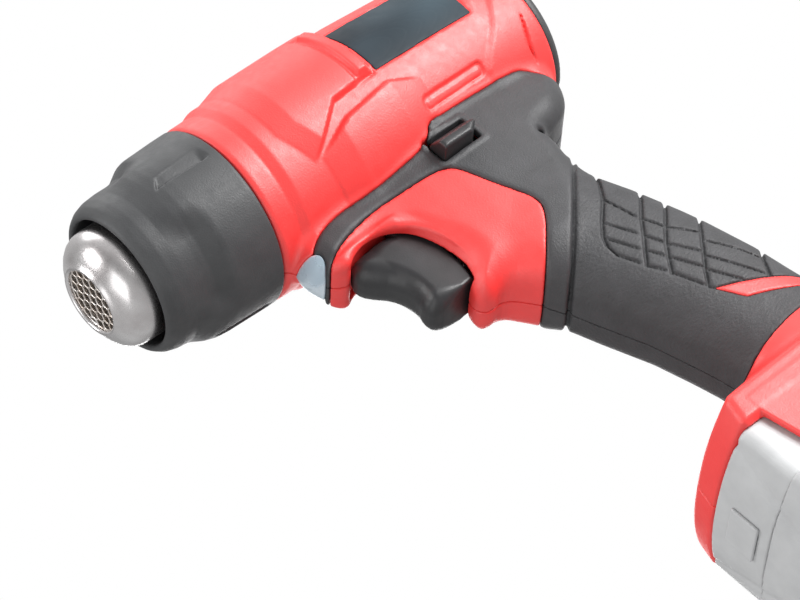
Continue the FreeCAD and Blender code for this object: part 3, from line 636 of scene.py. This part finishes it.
def shell_pieces(side):
    """One housing half with its overmould pieces."""
    sign = SIDES[side]
    reach = 39.0
    low_y, high_y = (-reach, 1.2) if sign < 0 else (-1.2, reach)
    block = Block((-1.5, low_y, -214), (143, high_y, 39))
    body = body_field(block)
    own_side = SEAM - sign * block.y
    saddle = saddle_region(block)
    grip = grip_region(block)
    over = np.minimum(saddle, grip)
    over = np.minimum(over, path_distance(block.x, block.z, RING_LINE) - 1.0)

    shell = carve(body, np.maximum(over, -(body + SKIN + 0.15)), 0.5)
    label = np.maximum(label_room(block, 0.25), -(body + 0.55))
    shell = carve(shell, label, 0.3)
    cheek_side = np.abs(block.side - 36.6) - 1.35
    cheek_edge = [(52, -184), (52, -191), (56, -212), (131, -212), (134, -191), (134, -184)]
    cheek = outline(block.x, block.z, cheek_edge)
    shell = join(shell, round_meet(cheek, cheek_side, 0.8), 0.8)
    under = np.maximum(np.abs(block.z + 196) - 5.2, block.side - 34.9)
    shell = carve(shell, np.broadcast_to(under, shell.shape), 0.5)
    shell = np.maximum(shell, -hollow(body))
    foot_plate = np.maximum(body + 0.3, np.abs(block.z + 188.4) - 2.0)
    shell = np.minimum(shell, carve(foot_plate, under, 0.2))
    rail_web = box_field(block, (105.5, 0, -192.5), (29.5, 20, 3.5), 0.3)
    rail_head = box_field(block, (105.5, 0, -195.25), (29.5, 25, 1.75), 0.4)
    shell = np.minimum(shell, np.minimum(rail_web, rail_head))
    for room in (trigger_room(block), lock_room(block) - 1.2, lens_room(block)):
        shell = carve(shell, room, 0.5)
    if sign > 0:
        shell = carve(shell, screw_rooms(block), 0.5)
    shell = meet(shell, own_side, 0.5)
    piece = mesh_field(f"shell_{side}", block, shell)
    finish_piece(piece, RED, "gun", "red_shell", f"housing_{side}")

    proud = 0.45 * softly(saddle, 1.6)
    skin = np.maximum(body - proud + ring_depth(block), -(body + SKIN))
    soft = meet(skin, saddle + EDGE_GAP, 0.6)
    button_lip = box_field(block, LOCK_AT, (10.2, 60, 6.9), 1.5)
    soft = join(soft, np.maximum(np.maximum(button_lip, body - 0.8), -(body + 1)), 0.8)
    soft = meet(soft, saddle + EDGE_GAP, 0.4)
    for room in (lock_room(block), lens_room(block), trigger_room(block)):
        soft = carve(soft, room, 0.5)
    if sign > 0:
        soft = carve(soft, screw_rooms(block), 0.5)
    soft = meet(soft, own_side, 0.5)
    piece = mesh_field(f"saddle_soft_{side}", block, soft)
    finish_piece(piece, SOFT, "gun", "charcoal_overmold", f"saddle_overmold_{side}")
    return block, body, grip, own_side


# ---- the handle's tread ------------------------------------------------------
CROSS_GROOVES = [
    # side-view run, width and depth
    ([(112, -60), (89, -88.5), (81, -96), (77, -100.5), (75.6, -104)], 2.0, 1.4),
    ([(118, -78), (92, -103), (87, -109), (83, -113.5), (79.4, -118)], 2.0, 1.4),
    ([(122, -86), (95, -111), (90, -116), (86.6, -120.5), (83.2, -125.4)], 2.0, 1.4),
    ([(126, -98), (106, -116.4), (100, -122.6), (96, -127.2), (92, -131.6), (88, -137)], 2.0, 1.4),
    ([(130, -122), (111, -140), (106, -147.4)], 2.0, 1.4),
]
ROWS = [
    [(89, -89), (91.2, -101)], [(81, -96), (86, -106.5)], [(77, -101), (81.8, -111.4)],
    [(75.6, -104), (75.4, -108.5), (78.4, -115.4)],
    [(92, -103), (95.4, -111)], [(87, -109), (90.4, -116)], [(83, -113.5), (86.8, -120.4)],
    [(79.4, -118), (82.4, -123.4)],
    [(95.4, -111), (102.4, -118.6)], [(90, -116), (96.4, -125.4)], [(86.8, -120.6), (92.2, -130.6)],
    [(83.2, -125.4), (88.6, -138.6)],
    [(101, -123), (107.6, -132), (111, -138.4)], [(96, -127.6), (106, -145.2)], [(92, -131.8), (98, -142.4)],
]
INLAY = [
    (88.4, -138.6), (96, -142), (104, -146), (113, -150.4), (124, -156), (124, -160), (108, -154.4),
    (94, -148.2),
]


def grip_piece(side, block, body, grip, own_side):
    """One half of the handle's overmould with its ring groove, tread and inlay recess."""
    depth = ring_depth(block)
    for run, width, deep in CROSS_GROOVES:
        depth = np.maximum(depth, deep * groove(path_distance(block.x, block.z, run), width))
    for run in ROWS:
        depth = np.maximum(depth, 1.1 * groove(path_distance(block.x, block.z, run), 1.4))
    inlay = outline(block.x, block.z, INLAY)
    depth = np.maximum(depth, 1.2 * softly(inlay - 0.2, 0.4))
    skin = np.maximum(body + depth, -(body + SKIN))
    under_ring = path_distance(block.x, block.z, RING_LINE) - 0.7
    soft = np.maximum(skin, np.minimum(grip + EDGE_GAP, under_ring))
    if SIDES[side] > 0:
        soft = carve(soft, screw_rooms(block), 0.5)
    soft = meet(soft, own_side, 0.5)
    piece = mesh_field(f"grip_soft_{side}", block, soft)
    finish_piece(piece, RUBBER, "gun", "charcoal_overmold", f"grip_overmold_{side}")

    strip = np.maximum(np.maximum(body + 0.1, -(body + 1.3)), inlay + 0.15)
    piece = mesh_field(f"grip_inlay_{side}", block, meet(strip, own_side, 0.3))
    finish_piece(piece, RED, "gun", "red_shell")


for side in SIDES:
    block, body, grip, own_side = shell_pieces(side)
    grip_piece(side, block, body, grip, own_side)
del block, body, grip, own_side


# ---- collar and outlet -------------------------------------------------------
COLLAR_FRONT = [(-33, 28.5), (-37.4, 28.1), (-40.4, 27.2), (-42.4, 25.9), (-43.4, 24.6), (-43.4, 0)]
COLLAR_BACK = [(0, 0), (0, 32.9), (-0.6, 33.2), (-6, 33.1)]
COLLAR = [
    *COLLAR_BACK, (-17.6, 32.6), (-19.2, 32.2), (-20.8, 31.2), (-24.6, 28.9), (-27.6, 28.5), *COLLAR_FRONT,
]
COLLAR_LOBE = [*COLLAR_BACK, (-20, 32.7), (-23.5, 32.3), (-27, 31.2), (-30.6, 29.4), *COLLAR_FRONT]
COLLAR_BORE = [
    (1, 0), (1, 30.2), (-12, 30.0), (-20, 28.0), (-28, 25.2), (-38, 23.9), (-42, 23.4), (-44, 24.2),
    (-44, 0),
]


def repeat_round(block, start, count=3):
    """Degrees from the nearest of count equal places round the barrel, the first at start."""
    pitch = 360 / count
    angle = np.degrees(np.arctan2(block.z, -block.y))
    return (angle - start + pitch / 2) % pitch - pitch / 2


def collar_piece():
    """The stepped front collar: three lobes with a wedge recess on each, and steeper steps between."""
    block = Block((-45, -34.5, -34.5), (1, 34.5, 34.5), grid_step(0.5))
    turn = repeat_round(block, 6.0)
    lobe = np.clip((40 - np.abs(turn)) / 20, 0, 1)
    lobe = lobe * lobe * (3 - 2 * lobe)
    field = turned_field(block, COLLAR) * (1 - lobe) + turned_field(block, COLLAR_LOBE) * lobe
    arc = turn * 0.57
    wedge = outline(block.x, arc, [(-22.4, 2.2), (-3.8, 2.8), (-2.8, -3.2), (-25.4, -2.5)])
    slope = np.clip((arc + 3.2) / 5.6, 0, 1)
    rear_wall = np.clip((-3.2 - block.x) / 2.6, 0, 1)
    field = field + 2.0 * softly(wedge, 0.5) * (1 - 0.92 * slope) * rear_wall
    field = meet(field, -turned_field(block, COLLAR_BORE), 0.8)
    return mesh_field("collar", block, field)


finish_piece(collar_piece(), CHARCOAL, "gun", "charcoal_plastic", "front_collar")

NOZZLE_R = 21.0
MOUTH_R = 11.4
OUTLET = [
    (-22, NOZZLE_R), (-45.0, NOZZLE_R), (-47.2, 20.7), (-49.2, 19.8), (-50.9, 18.4), (-52.3, 16.6),
    (-53.4, 14.8), (-54.2, 13.2), *arc_points((-54.0, 12.3), 0.9, 150, 270), (-52.6, MOUTH_R),
    (-51.0, MOUTH_R + 0.4),
    (-51.2, 14.6), (-49.6, 17.4), (-47, 19.4), (-45, NOZZLE_R - 1), (-22, NOZZLE_R - 1),
]


def grille_piece():
    """The honeycomb just inside the outlet's mouth."""
    block = Block((-53.9, -12.4, -12.4), (-51.3, 12.4, 12.4), 0.17)
    pitch = 3.7
    wall = 0.62
    u, v = block.y / pitch, block.z / pitch
    row = 3 ** 0.5
    nearest = np.full(np.broadcast(u, v).shape, 9, np.float32)
    for shift in (0, 0.5):
        du = (u + shift + 0.5) % 1 - 0.5
        dv = (v + shift * row + row / 2) % row - row / 2
        across = np.abs(du)
        hexagon = np.maximum(across, across * 0.5 + np.abs(dv) * row / 2)
        nearest = np.minimum(nearest, hexagon)
    cell_wall = (nearest - 0.5) * pitch + wall / 2
    disc = np.maximum(block.radius - MOUTH_R - 0.5, np.abs(block.x + 52.6) - 0.9)
    rim = np.abs(block.radius - MOUTH_R - 0.1) - 0.4
    return mesh_field("outlet_honeycomb", block, meet(disc, np.minimum(-cell_wall, rim), 0.25))


finish_piece(lathe("outlet", OUTLET), STEEL, "gun", "stainless", "outlet_nozzle")
finish_piece(grille_piece(), HOT, "gun", "grille_metal", "outlet_grille")


# ---- trigger, lock button and lens -------------------------------------------
def saddle_opening(block):
    """How far inside the saddle's side view a point is, above the trigger's opening only."""
    inside = -outline(block.x, block.z, smooth(SADDLE, 2))
    return np.where(block.x > 33, -9, inside - 1.5)


def trigger_piece():
    """The trigger: a scooped blade with deep round flanks that square up towards its root."""
    block = Block((13, -11, -82), (45.5, 11, -45), grid_step(0.4))
    side_view = np.maximum(trigger_outline(block.x, block.z), saddle_opening(block) + 0.4)
    rounding = np.clip(7.5 - (block.x - 24) * 0.55, 1.2, 7.5)
    swell = 0.5 * np.exp(-((block.x - 30) / 5) ** 2)
    wall = block.side - 8.9 - swell
    blade = round_meet(side_view, wall, rounding + 0 * side_view)
    low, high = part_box("trigger_spring")
    coil_radius = (high.z - low.z) / MM / 2
    coil_z = (high.z + low.z) / MM / 2 - ORIGIN[2] / MM
    pocket = np.maximum(np.hypot(block.y, block.z - coil_z) - coil_radius - 0.8, 36 - block.x)
    return mesh_field("trigger_blade", block, carve(blade, pocket, 0.3))


finish_piece(trigger_piece(), BLACK, "trigger_unit", "black_plastic", "trigger")


def lock_piece():
    """The cross-bolt lock button with bevelled ends."""
    low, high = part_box("lock_button")
    low, high = ((np.array(v) - ORIGIN) / MM for v in (low, high))
    margin = 1.5
    block = Block(low - margin, high + margin, grid_step(0.4))
    body = outline(block.x, block.z, [
        (low[0], low[2]), (low[0], high[2] - 2), (low[0] + 3, high[2]), (high[0], high[2]),
        (high[0], low[2] + 3), (high[0] - 4, low[2]),
    ])
    middle, half = (low[1] + high[1]) / 2, (high[1] - low[1]) / 2
    field = meet(body, np.abs(block.y - middle) - half, 1.6)
    bevel = (low[1] + 2.4 - block.y) * 0.6 + (block.z - high[2] + 4.2) * 0.8
    return mesh_field("lock_bolt", block, meet(field, bevel, 0.8))


finish_piece(lock_piece(), BLACK, "lock_pin", "black_plastic", "lock_button")


def lens_piece():
    """The work light's window, curved with the nose."""
    block = Block((0, -13, -51), (15, 13, -35), 0.3)
    return mesh_field("lens", block, meet(lens_room(block) + 0.12, saddle_field(block) - 0.1, 1.0))


finish_piece(lens_piece(), LENS, "gun", "lens_clear", "led_lens")


# ---- label -------------------------------------------------------------------
def label_piece(side):
    """A thin film in the barrel's label recess."""
    sign = SIDES[side]
    low_y, high_y = (-37, -24) if sign < 0 else (24, 37)
    block = Block((60, low_y, -10), (108, high_y, 22), 0.35)
    surface = barrel_field(block)
    film = np.maximum(surface + 0.12, -(surface + 0.6))
    field = np.maximum(film, label_room(block))
    return mesh_field(f"label_{side}", block, field)


for side in SIDES:
    finish_piece(label_piece(side), LABEL, "gun", "label_slate", f"label_plate_{side}")


# ---- rear cap ----------------------------------------------------------------
def cap_piece():
    """The domed rear cap with sixteen air slots round a hub."""
    block = Block((122, -31.5, -31.5), (131.6, 31.5, 31.5), grid_step(0.5))
    field = turned_field(block, [
        (123, 27.6), (126.9, 27.6), (126.9, 30.0), (128.6, 29.9), (130, 29), (130.8, 27), (131, 24), (131, 0),
        (128.6, 0), (128.6, 25.4), (123, 25.4),
    ])
    slots = 16
    pitch = 360 / slots
    angle = (np.degrees(np.arctan2(block.z, block.y)) + pitch / 2) % pitch - pitch / 2
    across = block.radius * np.sin(np.radians(angle))
    slot = np.hypot(np.maximum(np.abs(block.radius - 16) - 6.2, 0), across) - 1.25
    field = carve(field, np.broadcast_to(slot, field.shape), 0.7)
    ring = np.abs(block.radius - 26) - 0.5
    field = field + 0.5 * softly(np.maximum(ring, 130 - block.x), 0.4)
    return mesh_field("cap", block, field)


finish_piece(cap_piece(), CHARCOAL, "gun", "charcoal_plastic", "rear_cap")


# ---- battery -----------------------------------------------------------------
SPLIT = -213.0
BATTERY_FRONT = 37.3


def battery_blank(block, back, half, low, high, rounding, bow=7.4):
    """A block with a front bowed like the foot's, between two heights."""
    front = (BATTERY_FRONT + foot_bow(block, bow) - block.x) * 0.92
    ends = np.maximum(front, block.x - back + foot_bow(block, 3.0))
    plan = round_meet(ends, block.side - half, 3.0)
    return round_meet(plan, np.maximum(block.z - high, low - block.z), rounding)


def battery_creases(block):
    """Shallow folds that run down the battery's front corners and along its sides."""
    corner = path_distance(block.side, block.z, [(30, -190), (24, -205), (17, -224), (10, -240)])
    fold = 0.5 * groove(corner, 5.0) * np.clip((60 - block.x) / 6, 0, 1)
    along = path_distance(block.x, block.z, [(48, -224), (62, -227), (116, -227), (134, -222)])
    return fold + 0.6 * groove(along, 2.2) * np.clip((block.side - 30) / 4, 0, 1)


def battery_pieces():
    """The pack: an upper case with the slide slots, and a creased tray below it."""
    block = Block((35, -38.5, BATTERY_LOW - 1.5), (143, 38.5, -189), grid_step(0.7))
    upper = battery_blank(block, 140.4, 34.8, SPLIT - 6, -190.6, 1.2) + battery_creases(block)
    slot_web = box_field(block, (130, 0, -194), (71, 20.6, 5), 0.4)
    slot_head = box_field(block, (130, 0, -195.5), (71, 25.6, 2.2), 0.4)
    upper = carve(carve(upper, slot_web, 0.4), slot_head, 0.4)
    front_way = box_field(block, (40, 0, -203.5), (6.0, 5.0, 4.6), 0.4)
    top_way = box_field(block, (45, 0, -200), (2.1, 9.4, 12), 0.4)
    upper = carve(carve(upper, front_way, 0.4), top_way, 0.3)
    upper = np.maximum(upper, SPLIT + 0.1 - block.z)
    finish_piece(mesh_field("battery_upper", block, upper), GREY, "battery_pack", "battery_grey",
                 "battery_case_upper")

    tray = battery_blank(block, 140.9, 37.4, BATTERY_LOW, SPLIT + 6, 3.4, 5.2) + battery_creases(block)
    sole = np.hypot(np.maximum(np.abs(block.x - 89) - 30, 0), np.maximum(block.side - 18, 0)) - 3
    tray = carve(tray, np.maximum(sole, block.z - BATTERY_LOW - 0.8), 0.5)
    tray = np.maximum(tray, block.z - SPLIT + 0.1)
    inside = box_field(block, (93, 0, BATTERY_LOW + 14), (43, 33.5, 12), 1.0)
    finish_piece(mesh_field("battery_lower", block, carve(tray, inside, 0.3)), GREY, "battery_pack",
                 "battery_grey", "battery_tray")


battery_pieces()


def latch_piece():
    """The release slider: a thumb plate in front, a neck through the case and the tongue behind."""
    block = Block((35, -10, -210), (47.5, 10, -189.5), 0.35)
    plate = box_field(block, (36.9, 0, -202.9), (0.7, 8.4, 5.7), 0.7)
    neck = box_field(block, (40.8, 0, -201.5), (3.6, 4.5, 2.2), 0.4)
    tongue = box_field(block, (44.9, 0, -197.9), (1.5, 8.7, 7.3), 0.5)
    return mesh_field("latch_slider", block, join(join(plate, neck, 0.6), tongue, 0.6))


finish_piece(latch_piece(), GREY, "battery_release", "charcoal_plastic", "battery_latch")


# ---- finishes for the CAD nodes that stay ------------------------------------
CAD_FINISH = {
    "heater_tube": STEEL,
    "mica_sleeve": plain("mica_sheet", (0.42, 0.33, 0.20), (0.62, 0.52, 0.36), 0.45, size=6),
    "heater_core": plain("mica_former", (0.70, 0.66, 0.56), (0.82, 0.79, 0.71), 0.6, size=5),
    "heater_coil": plain("resistance_wire", (0.22, 0.18, 0.16), (0.42, 0.36, 0.32), 0.4, 1.0, size=3),
    "thermal_fuse": plain("fuse_can", (0.5, 0.5, 0.52), (0.66, 0.66, 0.68), 0.3, 1.0),
    "fan_shroud": plain("nylon_shroud", (0.66, 0.66, 0.62), (0.76, 0.76, 0.72), 0.5),
    "fan_impeller": plain("nylon_fan", (0.62, 0.62, 0.60), (0.74, 0.74, 0.71), 0.45),
    "motor_shaft": plain("ground_steel", (0.55, 0.55, 0.56), (0.72, 0.72, 0.74), 0.2, 1.0),
    "motor": plain("motor_can", (0.42, 0.43, 0.45), (0.58, 0.59, 0.61), 0.3, 1.0, size=8),
    "motor_mount": plain("nylon_mount", (0.55, 0.55, 0.52), (0.66, 0.66, 0.63), 0.5),
    "intake_screen": plain("dust_screen", (0.10, 0.10, 0.10), (0.24, 0.24, 0.25), 0.6, grain=0.8, height=0.2),
    "control_board": plain("solder_mask", (0.010, 0.10, 0.035), (0.02, 0.17, 0.06), 0.35, size=5),
    "switch_module": plain("switch_body", (0.02, 0.02, 0.022), (0.04, 0.04, 0.042), 0.4),
    "switch_plunger": plain("switch_plunger", (0.7, 0.7, 0.66), (0.8, 0.8, 0.77), 0.4),
    "trigger_spring": plain("spring_wire", (0.42, 0.42, 0.44), (0.62, 0.62, 0.64), 0.28, 1.0),
    "latch_spring": plain("latch_spring_wire", (0.42, 0.42, 0.44), (0.62, 0.62, 0.64), 0.28, 1.0),
    "led_board": plain("led_mask", (0.5, 0.5, 0.5), (0.75, 0.75, 0.76), 0.4),
    "terminal_block": plain("terminal_black", (0.02, 0.02, 0.02), (0.04, 0.04, 0.04), 0.45),
    "contact_blades": plain("tinned_copper", (0.62, 0.42, 0.20), (0.80, 0.62, 0.34), 0.25, 1.0),
    "battery_cells": plain("cell_wrap", (0.02, 0.12, 0.26), (0.04, 0.20, 0.38), 0.3, size=12),
    "housing_screws": plain("screw_black_zinc", (0.10, 0.10, 0.11), (0.22, 0.22, 0.23), 0.35, 1.0, size=2),
}
for node, material in CAD_FINISH.items():
    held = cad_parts[node].data.materials
    held.clear()
    held.append(material)


# ---- stage, light and camera -------------------------------------------------
def floor_material():
    """A pale floor that can't be seen from below."""
    paint = Paint("pale_floor", (0.38, 0.38, 0.38), 0.7, Emission_Color=(1, 1, 1, 1), Emission_Strength=0.7)
    paint.tint(paint.noise(300, 2), (0.36, 0.36, 0.363), (0.40, 0.40, 0.40))
    clear = paint.nodes.new("ShaderNodeBsdfTransparent")
    mix = paint.nodes.new("ShaderNodeMixShader")
    paint.links.new(paint.nodes.new("ShaderNodeNewGeometry").outputs["Backfacing"], mix.inputs["Fac"])
    paint.links.new(paint.shader.outputs[0], mix.inputs[1])
    paint.links.new(clear.outputs[0], mix.inputs[2])
    paint.links.new(mix.outputs[0], paint.nodes["Material Output"].inputs["Surface"])
    return paint.material


bpy.ops.mesh.primitive_plane_add(size=6, location=(0, 0, 0))
floor = bpy.context.object
floor.name = "floor"
floor.data.materials.append(floor_material())
floor.visible_diffuse = False
floor.visible_glossy = False
floor.visible_shadow = False

ROOM_BRIGHT_SIDE = (0.75, -0.25, 0.6)
ROOM_TONES = [(0.0, 0.85), (0.28, 0.75), (0.42, 0.45), (0.58, 0.60), (0.85, 1.10)]
ROOM_STRENGTH = 0.75


def studio_world():
    """A white backdrop, and uneven light on the object: dim in front, bright behind and above."""
    world = bpy.data.worlds.new("studio")
    bpy.context.scene.world = world
    world.use_nodes = True
    nodes, links = world.node_tree.nodes, world.node_tree.links
    backdrop = nodes["Background"]
    backdrop.inputs["Color"].default_value = (1, 1, 1, 1)
    room = nodes.new("ShaderNodeBackground")
    towards = nodes.new("ShaderNodeVectorMath")
    towards.operation = "DOT_PRODUCT"
    towards.inputs[1].default_value = Vector(ROOM_BRIGHT_SIDE).normalized()
    links.new(nodes.new("ShaderNodeTexCoord").outputs["Generated"], towards.inputs[0])
    height = nodes.new("ShaderNodeMapRange")
    height.inputs["From Min"].default_value = -1
    links.new(towards.outputs["Value"], height.inputs["Value"])
    ramp = nodes.new("ShaderNodeValToRGB")
    stops = ramp.color_ramp.elements
    while len(stops) < len(ROOM_TONES):
        stops.new(0.5)
    for stop, (place, tone) in zip(stops, ROOM_TONES):
        stop.position = place
        stop.color = (tone, tone, tone, 1)
    links.new(height.outputs["Result"], ramp.inputs["Fac"])
    links.new(ramp.outputs["Color"], room.inputs["Color"])
    room.inputs["Strength"].default_value = ROOM_STRENGTH
    mix = nodes.new("ShaderNodeMixShader")
    links.new(nodes.new("ShaderNodeLightPath").outputs["Is Camera Ray"], mix.inputs["Fac"])
    links.new(room.outputs[0], mix.inputs[1])
    links.new(backdrop.outputs[0], mix.inputs[2])
    links.new(mix.outputs[0], nodes["World Output"].inputs["Surface"])


studio_world()


def soft_light(name, at, aim, size, power):
    """An area light at one point that faces another, in metres in the row frame."""
    light = bpy.data.lights.new(name, "AREA")
    light.size = size
    light.energy = power
    obj = bpy.data.objects.new(name, light)
    bpy.context.scene.collection.objects.link(obj)
    obj.location = at
    obj.rotation_euler = (Vector(aim) - Vector(at)).to_track_quat("-Z", "Y").to_euler()


GUN_MIDDLE = (0, 0, 0.15)
soft_light("key", (0.66, -0.90, 0.06), GUN_MIDDLE, 0.6, 20)
soft_light("top", (0.2, -0.2, 1.1), GUN_MIDDLE, 0.6, 2.5)
soft_light("front_top", (-0.80, -0.30, 0.85), GUN_MIDDLE, 0.4, 5)
soft_light("front_low", (-1.0, -0.35, -0.1), GUN_MIDDLE, 0.7, 3)
soft_light("far_side", (0.5, 0.9, 0.5), GUN_MIDDLE, 0.6, 5)

# The camera looks up at the nozzle and the left side from below, rolled so that the barrel runs up
# to the right.
CAMERA_RIGHT = Vector((0.7334, -0.0369, -0.6788))
CAMERA_BACK = Vector((-0.4552, -0.7683, -0.4500))
CAMERA_AT = Vector((-450.6, -796.7, -531.7))
SENSOR = 36.0
FOCAL = 144.0
back = CAMERA_BACK.normalized()
right = (CAMERA_RIGHT - back * CAMERA_RIGHT.dot(back)).normalized()
up = back.cross(right)
camera = bpy.data.objects.new("camera", bpy.data.cameras.new("camera"))
bpy.context.scene.collection.objects.link(camera)
camera.data.sensor_width = SENSOR
camera.data.lens = FOCAL
camera.data.clip_start = 0.05
camera.matrix_world = Matrix((
    (right.x, up.x, back.x, CAMERA_AT.x * MM + ORIGIN[0]),
    (right.y, up.y, back.y, CAMERA_AT.y * MM + ORIGIN[1]),
    (right.z, up.z, back.z, CAMERA_AT.z * MM + ORIGIN[2]),
    (0, 0, 0, 1),
))
bpy.context.scene.camera = camera
bpy.context.scene.view_settings.view_transform = "Standard"
